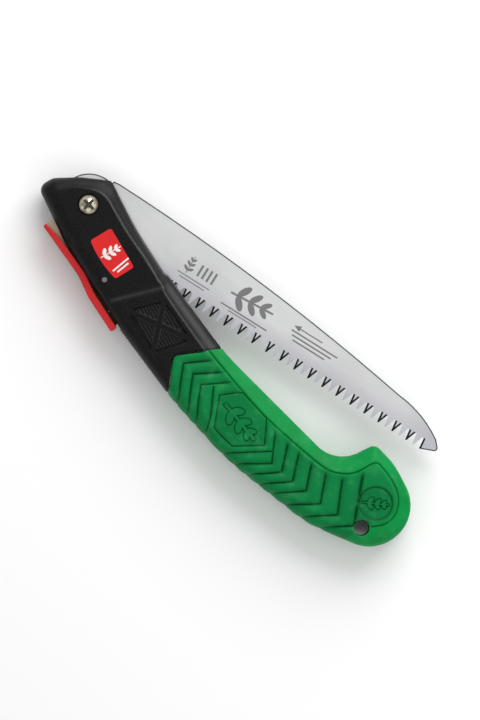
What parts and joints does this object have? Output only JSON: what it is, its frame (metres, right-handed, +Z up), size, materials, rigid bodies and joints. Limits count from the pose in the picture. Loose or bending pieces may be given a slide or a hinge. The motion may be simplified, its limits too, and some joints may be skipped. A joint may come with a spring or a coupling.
{
  "type": "folding pruning saw",
  "caption": "Folding pruning saw with a coarse pull-cut blade, a black moulded handle with a green ribbed pistol grip and a red back lock lever, lying flat with its blade partly swung out.",
  "frame": {"origin": "bottom centre of the bounding box of the whole saw as it lies flat, its blade partly swung out", "axes": "+X along the handle from the blade pivot to the butt, +Y towards the mouth side that the blade swings out of, +Z up, parallel to the blade pivot"},
  "size_m": [0.2408, 0.0816, 0.0226],
  "materials": {
    "core_plastic": "fine pebbled moulded nylon, black",
    "grip_rubber": "soft satin thermoplastic rubber, green",
    "blade_steel": "polished and lightly brushed blade steel",
    "lever_plastic": "glossy moulded plastic, red",
    "zinc_plate": "stamped steel with yellow zinc plating",
    "plated_steel": "nickel plated",
    "spring_steel": "dark oiled spring steel",
    "washer_nylon": "natural nylon",
    "label_film": "printed red film with a plain white motif"
  },
  "bodies": {
    "handle": {"handle_core": "core_plastic", "grip_overmould": "grip_rubber", "pivot_screw": "plated_steel", "spring_washer": "spring_steel", "pivot_nut": "plated_steel", "pivot_bush": "plated_steel", "friction_washer_near": "washer_nylon", "friction_washer_far": "washer_nylon", "lever_pin": "plated_steel", "lever_spring": "spring_steel", "label_near": "label_film", "label_far": "label_film"},
    "blade": {"blade": "blade_steel"},
    "lever": {"lock_plate": "zinc_plate", "lever_cover": "lever_plastic"}
  },
  "joints": [
    {"name": "blade_fold", "type": "hinge", "parent": "handle", "child": "blade", "pos_m": [-0.09777, -0.00104, 0.0113], "axis": [0, 0, 1], "range_deg": [-11.5, 164.2]},
    {"name": "lock_lever", "type": "hinge", "parent": "handle", "child": "lever", "pos_m": [-0.06667, -0.02124, 0.0113], "axis": [0, 0, 1], "range_deg": [0, 4.5], "stiffness_Nm_per_rad": 0.25, "springref_deg": -14.9, "deforming": ["lever_spring"]}
  ]
}
